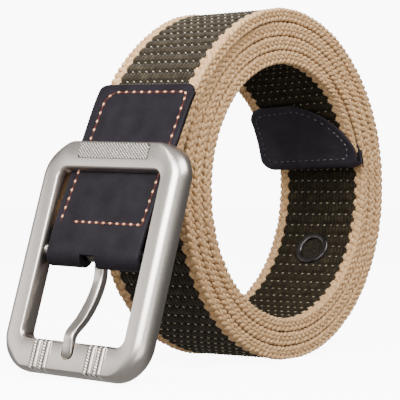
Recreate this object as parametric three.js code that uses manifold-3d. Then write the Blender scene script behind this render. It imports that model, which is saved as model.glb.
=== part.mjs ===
// Woven canvas belt, rolled up and standing on its edge like a wheel, with its buckle hanging beside
// the coil. Millimetres, +Z up. The coil's axis runs along Y, and its buckle is on the -X side.
import * as THREE from "three";
import { mergeVertices } from "three/addons/utils/BufferGeometryUtils.js";
import Module from "manifold-3d";

const wasm = await Module();
wasm.setup();

// Clearance between neighbouring pieces
const gap = 0.3;

// Webbing
const webWidth = 40;
const webThickness = 4.6;
const webEdgeCut = 1.0;
const webStep = 6.5;

// Coil, wound outward from the free tip. Angles are in degrees, anticlockwise seen from -Y.
const layerGap = 0.6;
const tipRadius = 47.1;
const tipAngle = 10;
const wholeTurns = 3;
const leaveAngle = 100;
const coilSpread = 1.06;
const restPress = 0.15;

// Run-out from the coil down to the buckle
const leaveReach = 20;
const arriveReach = 25;
const chapeLean = 26.6;
const chapeStraight = 52;
const endRoll = 2.0;
const endSide = -0.7;
const endDrift = 1.3;
const rollLength = 76;

// Webbing pressed thin inside the tip leather, and the twist of the free end
const tipPress = 2.0;
const tipShift = 0.3;
const tipFade = 12;
const twistInward = 5.0;
const twistLength = 75;

// Tip leather, folded over the free end
const tipLeatherLength = 32;
const tipLeatherWall = 1.2;
const tipLeatherOverhang = 0.9;
const tipCorner = 5;
const tipOpenFar = 7;
const tipOpenNearAcross = 22;
const tipOpenNearAlong = 26.5;
const tipOpenNearPower = 1.5;
const tipNearFold = 0.25;
const tipOuterCut = 1.12;

// Chape, the leather tab folded round the buckle's bar
const chapeWall = 1.8;
const chapeWidth = 39.4;
const chapeFlare = 2.4;
const chapeLength = 62.3;
const chapeBackLength = 36;
const chapeCorner = 3;
const chapeSlack = 1.42;
const webEndAboveBar = 9.5;
const foldSteps = 8;
const acrossSteps = 10;
const tipAcrossSteps = 20;

// Eyelet
const eyeletFromTip = 286;
const eyeletHole = 9.6;
const eyeletTube = 0.7;
const eyeletFlange = 14;
const flangeThickness = 1.0;
const flangeProud = 0.25;
const eyeletSides = 24;

// Buckle frame, a casting. Heights are measured along the frame from the middle of its bar.
const barReach = 89;
const frameLean = 17.6;
const openingWidth = 42.5;
const railWidth = 10.0;
const upperWindow = 28;
const lowerWindow = 30.7;
const upperBar = 11.1;
const lowerBar = 11.4;
const openingCorner = 2.6;
const outerCorner = 13;
const frameFront = 3.2;
const frameBack = 2.8;
const frontRound = 4.85;
const middleFlat = 0.5;
const barEdgeShare = 0.3;
const innerEdgeShare = 0.3;
const railBackShare = 0.5;
const backEdgeShare = 0.18;
const barRadius = 1.8;

// Relief cast on the frame
const hatchWidth = 30;
const hatchHeight = 5.4;
const hatchMargin = 1.5;
const hatchRidges = 20;
const hatchSlant = 1.1;
const reliefHeight = 0.4;
const ribEndDrop = 0.3;
const bandShift = -0.5;
const bandInner = 7.7;
const bandRibs = 4;
const bandPitch = 2.05;
const ribWidth = 0.9;
const beadRadius = 0.68;
const beadsPerRib = 8;
const notchFit = 0.45;

// Tongue
const tongueWidth = 4.2;
const tongueThickness = 3.2;
const tongueChamfer = 0.7;
const eyeWall = 1.1;
const tongueTipRound = 2.6;
const slotFit = 0.55;
const slotSpare = 1.25;
const slotFrontDrop = 2.4;
const slotBackRise = 5.0;
const tongueBow = 4.9;
const tongueShape = [
  // drop: share of the lower window's height, back: share of the tongue's bow
  { drop: 0.0, back: 0.54 },
  { drop: 0.08, back: 0.76 },
  { drop: 0.27, back: 1.0 },
  { drop: 0.5, back: 0.76 },
  { drop: 0.73, back: 0.16 },
  { drop: 0.92, back: -0.62 },
  { drop: 1.05, back: -0.64 },
  { drop: 1.2, back: -0.46 },
];

const radians = THREE.MathUtils.degToRad;
const smooth = (value, from, to) => THREE.MathUtils.smoothstep(value, from, to);

// Turns a closed geometry into a solid that can be cut and joined
function solid(geometry) {
  const bare = new THREE.BufferGeometry();
  bare.setAttribute("position", geometry.getAttribute("position").clone());
  if (geometry.index) {
    bare.setIndex(geometry.index.clone());
  }
  const merged = mergeVertices(bare, 1e-4);
  const mesh = new wasm.Mesh({
    numProp: 3,
    vertProperties: new Float32Array(merged.getAttribute("position").array),
    triVerts: new Uint32Array(merged.index.array),
  });
  return new wasm.Manifold(mesh);
}

// Turns a solid back into a geometry
function surface(manifold) {
  const mesh = manifold.getMesh();
  const geometry = new THREE.BufferGeometry();
  geometry.setAttribute("position", new THREE.BufferAttribute(new Float32Array(mesh.vertProperties), 3));
  geometry.setIndex(new THREE.BufferAttribute(new Uint32Array(mesh.triVerts), 1));
  geometry.computeVertexNormals();
  return geometry;
}

// Moves every vertex of a geometry by a function of its coordinates
function reshape(geometry, move) {
  const position = geometry.getAttribute("position");
  for (let i = 0; i < position.count; i += 1) {
    const [x, y, z] = move(position.getX(i), position.getY(i), position.getZ(i));
    position.setXYZ(i, x, y, z);
  }
  position.needsUpdate = true;
  return geometry;
}

// A shape drawn in Y and Z becomes a plate whose thickness runs along X, from x = back to x = front
function plateAlongX(geometry) {
  return reshape(geometry, (x, y, z) => [z, x, y]);
}

function roundedRectangle(target, left, right, low, high, radius) {
  target.moveTo(left + radius, low);
  target.lineTo(right - radius, low);
  target.absarc(right - radius, low + radius, radius, -Math.PI / 2, 0, false);
  target.lineTo(right, high - radius);
  target.absarc(right - radius, high - radius, radius, 0, Math.PI / 2, false);
  target.lineTo(left + radius, high);
  target.absarc(left + radius, high - radius, radius, Math.PI / 2, Math.PI, false);
  target.lineTo(left, low + radius);
  target.absarc(left + radius, low + radius, radius, Math.PI, 1.5 * Math.PI, false);
  return target;
}

function finish(colour, roughness, metalness) {
  return new THREE.MeshStandardMaterial({ color: colour, roughness, metalness });
}

// Buckle frame, about its own bar: x toward the coil, y along the bar, z up the frame
const frameOuter = {
  half: openingWidth / 2 + railWidth,
  low: -lowerWindow - lowerBar,
  high: upperWindow + upperBar,
};

function frameRing() {
  const plan = roundedRectangle(
    new THREE.Shape(), -frameOuter.half, frameOuter.half, frameOuter.low, frameOuter.high, outerCorner);
  plan.holes.push(roundedRectangle(
    new THREE.Path(), -openingWidth / 2, openingWidth / 2, -lowerWindow, upperWindow, openingCorner));
  const ring = new THREE.ExtrudeGeometry(plan, {
    depth: middleFlat,
    bevelThickness: frontRound,
    bevelSize: frontRound,
    bevelOffset: -frontRound,
    bevelSegments: 4,
    curveSegments: 5,
  });
  const backShare = (frameFront + frameBack - middleFlat - frontRound) / frontRound;
  reshape(ring, (x, y, z) => {
    const beyond = z > middleFlat ? z - middleFlat : Math.max(0, -z);
    const depth = z > middleFlat ? middleFlat + beyond * backShare : z;
    const [edgeX, edgeY] = easedEdge(x, y, beyond, z > 0);
    return [edgeX, edgeY, depth + frontRound - frameFront];
  });
  return solid(plateAlongX(ring));
}

// The ring starts with every edge rounded alike. This moves a rounded point back out toward its own
// edge: the rails keep their round outer edge in front, and the other edges are eased only a little.
function easedEdge(x, y, beyond, atBack) {
  const rounding = frontRound - Math.sqrt(Math.max(0, frontRound * frontRound - beyond * beyond));
  const opening = fromCore(x, y, openingWidth / 2, -lowerWindow, upperWindow, openingCorner);
  const outer = fromCore(x, y, frameOuter.half, frameOuter.low, frameOuter.high, outerCorner);
  const inside = Math.abs(opening.distance - openingCorner - rounding) < 0.01;
  const { normal } = inside ? opening : outer;
  const onRail = smooth(Math.abs(x), frameOuter.half - outerCorner, frameOuter.half - outerCorner / 4);
  const front = inside ? innerEdgeShare : THREE.MathUtils.lerp(barEdgeShare, 1, onRail);
  const back = inside ? backEdgeShare : THREE.MathUtils.lerp(backEdgeShare, railBackShare, onRail);
  const share = atBack ? back : front;
  const move = rounding * (1 - share) * (inside ? -1 : 1);
  return [x + normal.x * move, y + normal.y * move];
}

// Where a point lies from the core of a rounded rectangle, which is the rectangle of its corner centres
function fromCore(x, y, half, low, high, corner) {
  const normal = new THREE.Vector2(
    x - THREE.MathUtils.clamp(x, corner - half, half - corner),
    y - THREE.MathUtils.clamp(y, low + corner, high - corner));
  const distance = normal.length();
  return { distance, normal: normal.normalize() };
}

// Ribs run across the lower bar from its inner to its outer edge
function bandRelief() {
  const relief = [];
  const length = lowerBar - 2 * ribEndDrop;
  const middle = -lowerWindow - lowerBar / 2;
  for (const side of [-1, 1]) {
    for (let rib = 0; rib < bandRibs; rib += 1) {
      const fromBand = (side < 0 ? rib - bandRibs + 0.5 : rib + 0.5) * bandPitch;
      const across = bandShift + side * bandInner + fromBand;
      if (rib % 2 === 1) {
        const bar = new THREE.CylinderGeometry(ribWidth / 2, ribWidth / 2, length, 6);
        bar.rotateX(Math.PI / 2);
        bar.translate(-frameFront, across, middle);
        relief.push(solid(bar));
        continue;
      }
      for (let bead = 0; bead < beadsPerRib; bead += 1) {
        const stud = new THREE.OctahedronGeometry(beadRadius, 0);
        const rise = ((bead - (beadsPerRib - 1) / 2) * length) / beadsPerRib;
        stud.translate(-frameFront, across, middle + rise);
        relief.push(solid(stud));
      }
    }
  }
  return relief;
}

// Fine slanted ridges on the upper bar
function hatchRelief() {
  const pitch = hatchWidth / hatchRidges;
  const middle = frameOuter.high - hatchMargin - hatchHeight / 2;
  return Array.from({ length: hatchRidges }, (unused, ridge) => {
    const bar = new THREE.BoxGeometry(2 * reliefHeight, pitch * 0.55, hatchHeight);
    reshape(bar, (x, y, z) => [x - frameFront, y + (z / hatchHeight) * hatchSlant, z]);
    bar.translate(0, (ridge - (hatchRidges - 1) / 2) * pitch, middle);
    return solid(bar);
  });
}

// Recess in the lower bar that the tongue's tip lies in
function tongueNotch(centre) {
  const reach = tongueWidth / 2 + notchFit;
  const tipDrop = lowerWindow * tongueShape.at(-1).drop + notchFit;
  const plan = new THREE.Shape();
  plan.moveTo(-reach, -lowerWindow + 1);
  plan.lineTo(-reach, -tipDrop + reach);
  plan.absarc(0, -tipDrop + reach, reach, Math.PI, 2 * Math.PI, false);
  plan.lineTo(reach, -lowerWindow + 1);
  const floor = centre + tongueThickness / 2 + gap;
  const cut = new THREE.ExtrudeGeometry(plan, { depth: 3, bevelEnabled: false, curveSegments: 10 });
  cut.translate(0, 0, floor - 3);
  return solid(plateAlongX(cut));
}

// Tongue, drawn from the side as a bowed shank with an eye round the bar
const tonguePath = new THREE.SplineCurve(tongueShape.map(
  (row) => new THREE.Vector2(row.back * tongueBow, -row.drop * lowerWindow)));

function tongueBody() {
  const count = 18;
  const front = [];
  const back = [];
  for (let i = 0; i <= count; i += 1) {
    const at = tonguePath.getPointAt(i / count);
    const along = tonguePath.getTangentAt(i / count);
    const out = new THREE.Vector2(along.y, -along.x).multiplyScalar(tongueThickness / 2);
    front.push(at.clone().add(out));
    back.push(at.clone().sub(out));
  }
  const plan = new THREE.Shape([...front, ...back.reverse()]);
  const shank = new THREE.ExtrudeGeometry(plan, {
    depth: tongueWidth - 2 * tongueChamfer,
    bevelThickness: tongueChamfer,
    bevelSize: tongueChamfer,
    bevelOffset: -tongueChamfer,
    bevelSegments: 1,
  });
  shank.translate(0, 0, -(tongueWidth / 2 - tongueChamfer));
  // The shank narrows to a round tip
  const tipEnd = -lowerWindow * tongueShape.at(-1).drop;
  reshape(shank, (x, y, z) => {
    const into = THREE.MathUtils.clamp((tipEnd + tongueTipRound - y) / tongueTipRound, 0, 0.92);
    return [x, y, z * Math.sqrt(1 - into * into)];
  });
  reshape(shank, (x, y, z) => [x, -z, y]);
  const eye = new THREE.CylinderGeometry(
    barRadius + gap + eyeWall, barRadius + gap + eyeWall, tongueWidth, 20);
  const bore = new THREE.CylinderGeometry(barRadius + gap, barRadius + gap, 4 * tongueWidth, 20);
  return solid(eye).add(solid(shank)).subtract(solid(bore));
}

// The strap lies behind the upper bar, whose back is cut to lie along it
function strapSeat() {
  const front = -(webThickness / 2 + gap + chapeWall) - gap;
  const depth = 40;
  const height = chapeLength;
  const width = chapeWidth + chapeFlare + 2 * gap;
  const seat = new THREE.BoxGeometry(depth, width, height);
  seat.translate(front + depth / 2, 0, upperWindow / 2 + height / 2);
  return solid(seat.rotateY(radians(chapeLean - frameLean)));
}

function buckleFrame() {
  const bar = new THREE.CylinderGeometry(barRadius, barRadius, openingWidth + railWidth, 20);
  let body = frameRing().subtract(strapSeat());
  body = body.add(solid(bar));
  for (const piece of [...bandRelief(), ...hatchRelief()]) {
    body = body.add(piece);
  }
  const overBar = tongueShape.at(-1).back * tongueBow;
  return body.subtract(tongueNotch(overBar));
}

// The middle line of the webbing, in X and Z about the middle of the coil
const layerPitch = webThickness + layerGap;
const lastAngle = wholeTurns * 360 + leaveAngle;

function coilPoint(angle) {
  const radius = tipRadius + (layerPitch * (angle - tipAngle)) / 360;
  return new THREE.Vector2(
    coilSpread * radius * Math.cos(radians(angle)), radius * Math.sin(radians(angle)));
}

function coilCurve() {
  const count = Math.round((lastAngle - tipAngle) / 7.5);
  const points = Array.from({ length: count + 1 }, (unused, i) => (
    coilPoint(tipAngle + ((lastAngle - tipAngle) * i) / count)));
  const curve = new THREE.SplineCurve(points);
  curve.arcLengthDivisions = 3000;
  return curve;
}

// The frame rests on the same level as the coil, so its bar's height follows from its own shape
const frameSolid = buckleFrame();
const frameGeometry = surface(frameSolid);
const lowestAngle = (wholeTurns - 1) * 360 + 270;
const floorLevel = -(coilPoint(lowestAngle).length() + webThickness / 2) + restPress;

function lowestPoint(geometry) {
  const turned = geometry.clone().rotateX(radians(endRoll)).rotateY(radians(frameLean));
  turned.computeBoundingBox();
  return turned.boundingBox.min.z;
}

const bar = new THREE.Vector2(-barReach, floorLevel - lowestPoint(frameGeometry));
const chapeUp = new THREE.Vector2(Math.sin(radians(chapeLean)), Math.cos(radians(chapeLean)));
const fold = chapeWall + barRadius + 2 * gap;
const foldRoom = 2 * fold;

function strapLine() {
  const coil = coilCurve();
  const start = coil.getPoint(1);
  const leaving = coil.getTangent(1);
  const top = bar.clone().addScaledVector(chapeUp, chapeStraight);
  const line = new THREE.CurvePath();
  line.add(coil);
  line.add(new THREE.CubicBezierCurve(
    start,
    start.clone().addScaledVector(leaving, leaveReach),
    top.clone().addScaledVector(chapeUp, arriveReach),
    top));
  line.add(new THREE.LineCurve(top, bar.clone().addScaledVector(chapeUp, -foldRoom)));
  return line;
}

const line = strapLine();
const lineLength = line.getLength();
const barAt = lineLength - foldRoom;
const webLength = barAt - webEndAboveBar;

// How far the free end is pushed inward, more on its far side than on its near side
function inward(along, across) {
  const share = 1 - smooth(along, 0, twistLength);
  return share * twistInward * (0.5 + across / webWidth);
}

// Sideways shift and roll of the strap's end, which hangs a little askew with the buckle
function askew(along) {
  const fromBar = barAt - along;
  const share = 1 - smooth(fromBar, chapeLength, chapeLength + rollLength);
  return { side: share * (endSide - fromBar * Math.tan(radians(endDrift))), roll: share * radians(endRoll) };
}

// Puts a point given along, out from and across the webbing into its place
function onStrap(along, out, across) {
  const { side, roll } = askew(along);
  const rolled = along - across * Math.sin(roll);
  const share = THREE.MathUtils.clamp(rolled / lineLength, 0, 1);
  const at = line.getPoint(share);
  const run = line.getTangent(share);
  const beyond = rolled - share * lineLength;
  const height = out - inward(along, across);
  return [
    at.x + run.x * beyond + run.y * height,
    side + across * Math.cos(roll),
    at.y + run.y * beyond - run.x * height,
  ];
}

// Half thickness of the webbing, and how far its middle moves inward, near the free end
function pressed(along) {
  const share = 1 - smooth(along, tipLeatherLength, tipLeatherLength + tipFade);
  return { half: (webThickness - tipPress * share) / 2, shift: -tipShift * share };
}

const tipNose = pressed(0).half + gap + tipLeatherWall;
const tipLeatherWidth = webWidth + 2 * tipLeatherOverhang;

// How far a rounded corner draws an end back, at a distance across from the middle
function cornerTrim(across, width, corner) {
  const past = THREE.MathUtils.clamp(Math.abs(across) - (width / 2 - corner), 0, corner);
  return corner - Math.sqrt(corner * corner - past * past);
}

// A turned shape about the eyelet's axis, bent to follow the strap
function eyeletLathe(profile) {
  const points = profile.map(([radius, out]) => new THREE.Vector2(radius, out));
  const ends = points[0].x > 0 ? [points[0]] : [];
  const turned = new THREE.LatheGeometry([...points, ...ends], eyeletSides);
  return solid(reshape(turned, (x, y, z) => onStrap(eyeletFromTip + z, y, -x)));
}

const flangeTop = webThickness / 2 + flangeProud;
const flangeUnder = flangeTop - flangeThickness;

function eyelet() {
  const hole = eyeletHole / 2;
  const rim = eyeletFlange / 2;
  const ease = flangeThickness * 0.45;
  return surface(eyeletLathe([
    [hole, -flangeTop + ease], [hole + ease, -flangeTop], [rim - ease, -flangeTop],
    [rim, -flangeTop + ease], [rim, -flangeUnder], [hole + eyeletTube, -flangeUnder],
    [hole + eyeletTube, flangeUnder], [rim, flangeUnder], [rim, flangeTop - ease],
    [rim - ease, flangeTop], [hole + ease, flangeTop], [hole, flangeTop - ease],
  ]));
}

// Room for the eyelet: a hole for its tube, and a shallow seat for each flange
function eyeletCutter() {
  const tube = eyeletHole / 2 + eyeletTube + gap;
  const seat = eyeletFlange / 2 + gap;
  const under = flangeUnder - gap;
  const past = webThickness / 2 + layerGap / 2;
  return eyeletLathe([
    [0, -past], [seat, -past], [seat, -under], [tube, -under],
    [tube, under], [seat, under], [seat, past], [0, past],
  ]);
}

function webbing() {
  const half = webWidth / 2;
  const thick = webThickness / 2;
  const corners = [
    [-half + webEdgeCut, -thick], [half - webEdgeCut, -thick], [half, -thick + webEdgeCut],
    [half, thick - webEdgeCut], [half - webEdgeCut, thick], [-half + webEdgeCut, thick],
    [-half, thick - webEdgeCut], [-half, -thick + webEdgeCut],
  ];
  const section = new THREE.Shape(corners.map(([x, y]) => new THREE.Vector2(x, y)));
  const blank = new THREE.ExtrudeGeometry(section, {
    depth: webLength - tipNose,
    steps: Math.round(webLength / webStep),
    bevelEnabled: false,
  });
  // The section's x runs across and its y inward, and the extrusion runs along the strap
  reshape(blank, (x, y, z) => {
    const trim = cornerTrim(x, tipLeatherWidth, tipCorner) * (1 - smooth(z, 0, 3 * tipCorner));
    const along = tipNose + z + trim;
    const { half: pressedHalf, shift } = pressed(along);
    return onStrap(along, shift - (y * pressedHalf) / thick, x);
  });
  const floor = new THREE.BoxGeometry(4 * tipRadius, 2 * webWidth, 20);
  floor.translate(0, 0, floorLevel - 10);
  return surface(solid(blank).subtract(eyeletCutter()).subtract(solid(floor)));
}

// How much the open end of the tip leather is cut back toward its near side, in a long bowed corner
function nearOpening(across) {
  const past = THREE.MathUtils.clamp((tipOpenNearAcross - tipLeatherWidth / 2 - across) / tipOpenNearAcross, 0, 1);
  return tipOpenNearAlong * (1 - Math.pow(1 - Math.pow(past, tipOpenNearPower), 1 / tipOpenNearPower));
}

// A strip of leather folded over, with one leg on each face of the strap. Both legs run from the fold
// toward side +1 or -1 of it. The strip starts as a flat block whose x counts steps along it. The shift
// draws the strip toward its legs' ends, for rounded corners.
function foldedSheet({ foldAt, side, legs, wall, widthAt, inside, middle, shift, slack = 1, across: parts = acrossSteps }) {
  const steps = legs.map((leg) => Math.round(leg / webStep));
  const total = steps[0] + foldSteps + steps[1];
  const block = new THREE.BoxGeometry(total, wall, 2, total, 1, parts);
  reshape(block, (x, y, z) => {
    const fromFold = x + total / 2 - steps[0] - foldSteps / 2;
    const leg = fromFold < 0 ? 0 : 1;
    const distance = (Math.max(0, Math.abs(fromFold) - foldSteps / 2) / steps[leg]) * legs[leg];
    const across = side * (widthAt(distance) / 2) * Math.sin((z * Math.PI) / 2);
    const height = y + wall / 2;
    const angle = THREE.MathUtils.clamp(fromFold / (foldSteps / 2), -1, 1) * (Math.PI / 2);
    const along = foldAt + side * distance;
    const reach = inside(along) + height;
    return onStrap(
      along + side * (shift(distance, across, legs[leg], leg) - slack * reach * Math.cos(angle)),
      middle(along) + reach * Math.sin(angle),
      across);
  });
  return solid(block);
}

// The tip leather wraps the free end, with its fold past the end of the webbing
function tipLeather() {
  const leg = tipLeatherLength - tipNose;
  return surface(foldedSheet({
    foldAt: tipNose,
    side: 1,
    legs: [leg, leg],
    wall: tipLeatherWall,
    across: tipAcrossSteps,
    widthAt: () => tipLeatherWidth,
    inside: (along) => pressed(along).half + gap,
    middle: (along) => pressed(along).shift,
    shift: (distance, across, length, outer) => {
      const foldEnd = cornerTrim(across, tipLeatherWidth, tipCorner) * (1 - smooth(distance, 0, 3 * tipCorner));
      if (across < 0) {
        const cut = nearOpening(across) * (outer ? tipOuterCut : 1);
        return tipNearFold * foldEnd - cut * smooth(distance, 0, leg);
      }
      const openEnd = cornerTrim(across, tipLeatherWidth, tipOpenFar) * smooth(distance, leg - 1.3 * tipOpenFar, leg);
      return foldEnd - openEnd;
    },
  }));
}

// The chape wraps the bar, with a slot through its fold for the tongue
function chape() {
  const topWidth = chapeWidth + chapeFlare;
  let leather = foldedSheet({
    foldAt: barAt,
    side: -1,
    legs: [chapeBackLength, chapeLength],
    wall: chapeWall,
    widthAt: (distance) => THREE.MathUtils.lerp(chapeWidth, topWidth, distance / chapeLength),
    inside: (along) => THREE.MathUtils.lerp(
      barRadius + gap, webThickness / 2 + gap, smooth(barAt - along, 0, webEndAboveBar - gap)),
    middle: () => 0,
    shift: (distance, across, leg) => (
      -cornerTrim(across, topWidth, chapeCorner) * smooth(distance, leg - 3 * chapeCorner, leg)),
    slack: chapeSlack,
  });
  for (const cut of tongueSlot()) {
    leather = leather.subtract(solid(placedAtBar(cut, chapeLean)));
  }
  return surface(leather);
}

function placedAtBar(geometry, lean) {
  return geometry.rotateX(radians(endRoll)).rotateY(radians(lean)).translate(bar.x, 0, bar.y);
}

// The slot: open through the fold, higher at the back than in front, with room for the tongue's eye.
// It is wider than the tongue on the far side.
function tongueSlot() {
  const near = -tongueWidth / 2 - slotFit;
  const far = tongueWidth / 2 + slotFit + slotSpare;
  const width = far - near;
  const depth = 4 * fold;
  const through = new THREE.BoxGeometry(depth, width, foldRoom);
  through.translate(0, 0, -slotFrontDrop - foldRoom / 2);
  const back = new THREE.BoxGeometry(depth, width, slotBackRise + 2 * slotFrontDrop);
  back.translate(depth / 2, 0, slotBackRise / 2 - slotFrontDrop);
  const eyeRadius = barRadius + gap + eyeWall + gap;
  const eyeRoom = new THREE.CylinderGeometry(eyeRadius, eyeRadius, width, 20);
  return [through, back, eyeRoom].map((cut) => cut.translate(0, (near + far) / 2, 0));
}

const leatherFinish = () => finish(0x3c373f, 0.6, 0);
const castMetal = () => finish(0xb9b4ad, 0.35, 1);

const strap = new THREE.Mesh(webbing(), finish(0x8c7c60, 0.95, 0));
strap.name = "strap";
const tipPiece = new THREE.Mesh(tipLeather(), leatherFinish());
tipPiece.name = "tip_leather";
const chapePiece = new THREE.Mesh(chape(), leatherFinish());
chapePiece.name = "buckle_leather";
const eyeletPiece = new THREE.Mesh(eyelet(), finish(0x77736d, 0.4, 1));
eyeletPiece.name = "eyelet";
const framePiece = new THREE.Mesh(frameGeometry, castMetal());
framePiece.name = "buckle_frame";
const tonguePiece = new THREE.Mesh(surface(tongueBody()), castMetal());
tonguePiece.name = "tongue";

const buckle = new THREE.Group();
buckle.add(framePiece, tonguePiece);
buckle.position.set(bar.x, 0, bar.y);
buckle.rotation.set(radians(endRoll), radians(frameLean), 0, "YXZ");

const group = new THREE.Group();
group.name = "canvas_belt";
group.add(strap, tipPiece, chapePiece, eyeletPiece, buckle);

// The origin is under the middle of the whole belt
const bounds = new THREE.Box3().setFromObject(group, true);
const middlePoint = bounds.getCenter(new THREE.Vector3());
group.position.set(-middlePoint.x, -middlePoint.y, -bounds.min.z);

export default group;
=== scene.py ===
"""A woven canvas belt, rolled up and standing on its edge, with leather ends and a cast buckle."""
from math import cos, pi, radians, sin, sqrt, tan

import bmesh
import bpy
import numpy as np
from mathutils import Matrix, Vector


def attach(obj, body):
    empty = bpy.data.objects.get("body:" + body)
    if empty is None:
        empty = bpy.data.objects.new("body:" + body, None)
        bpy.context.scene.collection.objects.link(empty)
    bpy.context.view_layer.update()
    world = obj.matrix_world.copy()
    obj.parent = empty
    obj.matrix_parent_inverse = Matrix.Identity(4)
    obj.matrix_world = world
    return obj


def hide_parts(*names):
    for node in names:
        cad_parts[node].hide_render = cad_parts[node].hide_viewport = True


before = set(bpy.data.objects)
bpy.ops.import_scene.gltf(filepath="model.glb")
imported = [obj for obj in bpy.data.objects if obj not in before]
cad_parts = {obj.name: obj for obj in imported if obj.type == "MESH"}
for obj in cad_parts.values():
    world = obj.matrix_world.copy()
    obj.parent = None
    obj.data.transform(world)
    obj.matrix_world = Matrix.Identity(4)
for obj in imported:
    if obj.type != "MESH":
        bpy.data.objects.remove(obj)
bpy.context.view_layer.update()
MM = 0.001

# ----------------------------
# Sizes in millimetres and angles in degrees, as in the part's source
# ----------------------------
GAP = 0.3  # between neighbouring pieces

# The webbing, and the line that it follows round the coil and down to the buckle's bar
WEB_WIDTH, WEB_THICK = 40.0, 4.6
LAYER_PITCH = 5.2
TIP_RADIUS, TIP_ANGLE = 47.1, 10.0
LAST_ANGLE = 3 * 360 + 100.0
COIL_SPREAD = 1.06
LEAVE_REACH, ARRIVE_REACH = 20.0, 25.0
END_ROLL, END_SIDE, END_DRIFT, ROLL_LENGTH = 2.0, -0.7, 1.3, 76.0
TWIST_INWARD, TWIST_LENGTH = 5.0, 75.0

# The leather patch over the free end
TIP_LENGTH, TIP_WALL, TIP_OVERHANG = 32.0, 1.2, 0.9
TIP_CORNER, TIP_OPEN_FAR = 5.0, 7.0
TIP_OPEN_ACROSS, TIP_OPEN_ALONG, TIP_OPEN_POWER = 22.0, 26.5, 1.5
TIP_NEAR_FOLD, TIP_OUTER_CUT = 0.25, 1.12
TIP_PRESS, TIP_SHIFT, TIP_FADE = 2.0, 0.3, 12.0

# The chape, folded round the buckle's bar
CHAPE_LEAN, CHAPE_STRAIGHT, CHAPE_SLACK = 26.6, 52.0, 1.42
CHAPE_WALL, CHAPE_WIDTH, CHAPE_FLARE = 1.8, 39.4, 2.4
CHAPE_LENGTH, CHAPE_BACK, CHAPE_CORNER = 62.3, 36.0, 3.0
WEB_END_ABOVE_BAR = 9.5

# The eyelet
EYELET_AT, EYELET_HOLE, EYELET_TUBE = 286.0, 9.6, 0.7
EYELET_FLANGE, FLANGE_THICK, FLANGE_PROUD = 14.0, 1.0, 0.25

# The buckle's frame, its bar and its tongue
FRAME_LEAN, BAR_RADIUS = 17.6, 1.8
OPENING_WIDTH, RAIL_WIDTH = 42.5, 10.0
UPPER_WINDOW, LOWER_WINDOW = 28.0, 30.7
UPPER_BAR, LOWER_BAR = 11.1, 11.4
OPENING_CORNER, OUTER_CORNER = 2.6, 13.0
FRAME_FRONT, FRAME_BACK = 3.2, 2.8
FRONT_ROUND, MIDDLE_FLAT = 4.85, 0.5
TONGUE_WIDTH, TONGUE_THICK = 4.2, 3.2

coil_centre = np.array([18.360, -0.052, 63.406])
bar = np.array([-89.0, -22.032])
chape_up = np.array([sin(radians(CHAPE_LEAN)), cos(radians(CHAPE_LEAN))])
tip_width = WEB_WIDTH + 2 * TIP_OVERHANG


def smooth(value, low, high):
    share = np.clip((value - low) / (high - low), 0, 1)
    return share * share * (3 - 2 * share)


# ----------------------------
# The strap's middle line, and the way from flat webbing to its place in the coil
# ----------------------------
def strap_line():
    """Points close together along the strap's middle line, in x and z about the coil's middle."""
    turn = np.radians(np.linspace(TIP_ANGLE, LAST_ANGLE, 4000))
    radius = TIP_RADIUS + LAYER_PITCH * (np.degrees(turn) - TIP_ANGLE) / 360
    coil = np.stack([COIL_SPREAD * radius * np.cos(turn), radius * np.sin(turn)], 1)
    start, leaving = coil[-1], coil[-1] - coil[-2]
    leaving /= np.linalg.norm(leaving)
    top = bar + chape_up * CHAPE_STRAIGHT
    share = np.linspace(0, 1, 400)[1:, None]
    pulls = [start, start + leaving * LEAVE_REACH, top + chape_up * ARRIVE_REACH, top]
    weights = [(1 - share) ** 3, 3 * share * (1 - share) ** 2, 3 * share ** 2 * (1 - share),
               share ** 3]
    bend = sum(weight * pull for weight, pull in zip(weights, pulls))
    beyond = 2 * (CHAPE_WALL + BAR_RADIUS + 2 * GAP)
    last = top - chape_up * np.linspace(0, CHAPE_STRAIGHT + beyond, 60)[1:, None]
    return np.concatenate([coil, bend, last]), beyond


line, line_beyond_bar = strap_line()
line_steps = np.linalg.norm(np.diff(line, axis=0), axis=1)
line_at = np.concatenate([[0], np.cumsum(line_steps)])
line_run = np.gradient(line, line_at, axis=0)
line_run /= np.linalg.norm(line_run, axis=1)[:, None]
line_length = line_at[-1]
bar_at = line_length - line_beyond_bar
web_end = bar_at - WEB_END_ABOVE_BAR


def on_strap(flat):
    """Flat points (along, across, out) in millimetres go to their place on the strap, in metres."""
    along, across, out = flat[:, 0], flat[:, 1], flat[:, 2]
    from_bar = bar_at - along
    share = 1 - smooth(from_bar, CHAPE_LENGTH, CHAPE_LENGTH + ROLL_LENGTH)
    side = share * (END_SIDE - from_bar * tan(radians(END_DRIFT)))
    roll = share * radians(END_ROLL)
    rolled = along - across * np.sin(roll)
    at = np.clip(rolled, 0, line_length)
    x, z = np.interp(at, line_at, line[:, 0]), np.interp(at, line_at, line[:, 1])
    run_x, run_z = np.interp(at, line_at, line_run[:, 0]), np.interp(at, line_at, line_run[:, 1])
    inward = (1 - smooth(along, 0, TWIST_LENGTH)) * TWIST_INWARD * (0.5 + across / WEB_WIDTH)
    height, beyond = out - inward, rolled - at
    place = np.stack([x + run_x * beyond + run_z * height, side + across * np.cos(roll),
                      z + run_z * beyond - run_x * height], 1)
    return (place + coil_centre) * MM


def pressed(flat):
    """Webbing is squeezed thin inside the tip leather."""
    share = 1 - smooth(flat[:, 0], TIP_LENGTH, TIP_LENGTH + TIP_FADE)
    half = (WEB_THICK - TIP_PRESS * share) / WEB_THICK
    return np.stack([flat[:, 0], flat[:, 1], flat[:, 2] * half - TIP_SHIFT * share], 1)


def corner_trim(across, width, corner):
    """How far a rounded corner is cut back from a sheet's end."""
    past = np.clip(np.abs(across) - (width / 2 - corner), 0, corner)
    return corner - np.sqrt(corner * corner - past * past)


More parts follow.
